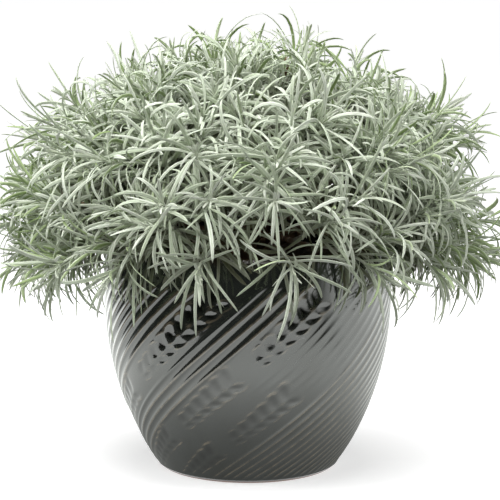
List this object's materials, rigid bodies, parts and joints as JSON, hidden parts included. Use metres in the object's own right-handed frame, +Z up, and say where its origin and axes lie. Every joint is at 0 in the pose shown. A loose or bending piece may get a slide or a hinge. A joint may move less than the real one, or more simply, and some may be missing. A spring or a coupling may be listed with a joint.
{
  "type": "potted licorice plant",
  "caption": "Licorice plant, a dome of narrow silver-green leaves on branching stems, growing in a round glazed pot with a drain hole.",
  "frame": {"origin": "on the surface the pot stands on, under the middle of the pot's foot", "axes": "+Z up through the middle of the pot, -Y towards the viewer, +X to the viewer's right"},
  "size_m": [0.4525, 0.4516, 0.395],
  "materials": {
    "glazed_pot": "gloss",
    "potting_mix": "rough",
    "bark": "rough",
    "foliage": "felted matte"
  },
  "bodies": {
    "root": {"pot": "glazed_pot", "root_crown": "bark", "potting_mix": "potting_mix", "stem_01": "bark", "stem_02": "bark", "stem_03": "bark", "stem_04": "bark", "stem_05": "bark", "stem_06": "bark", "stem_07": "bark", "stem_08": "bark", "stem_09": "bark", "stem_10": "bark", "stem_11": "bark", "stem_12": "bark", "stem_13": "bark", "stem_14": "bark", "leafy_shoot_01": "foliage", "leafy_shoot_02": "foliage", "leafy_shoot_03": "foliage", "leafy_shoot_04": "foliage", "leafy_shoot_05": "foliage", "leafy_shoot_06": "foliage", "leafy_shoot_07": "foliage", "leafy_shoot_08": "foliage", "leafy_shoot_09": "foliage", "leafy_shoot_10": "foliage", "leafy_shoot_11": "foliage", "leafy_shoot_12": "foliage", "leafy_shoot_13": "foliage", "leafy_shoot_14": "foliage", "leafy_shoot_15": "foliage", "leafy_shoot_16": "foliage", "leafy_shoot_17": "foliage", "leafy_shoot_18": "foliage", "leafy_shoot_19": "foliage", "leafy_shoot_20": "foliage", "leafy_shoot_21": "foliage", "leafy_shoot_22": "foliage", "leafy_shoot_23": "foliage", "leafy_shoot_24": "foliage", "leafy_shoot_25": "foliage", "leafy_shoot_26": "foliage", "leafy_shoot_27": "foliage", "leafy_shoot_28": "foliage", "leafy_shoot_29": "foliage", "leafy_shoot_30": "foliage", "leafy_shoot_31": "foliage", "leafy_shoot_32": "foliage", "leafy_shoot_33": "foliage", "leafy_shoot_34": "foliage", "leafy_shoot_35": "foliage", "leafy_shoot_36": "foliage", "leafy_shoot_37": "foliage", "leafy_shoot_38": "foliage", "leafy_shoot_39": "foliage", "leafy_shoot_40": "foliage", "leafy_shoot_41": "foliage", "leafy_shoot_42": "foliage"}
  },
  "joints": []
}
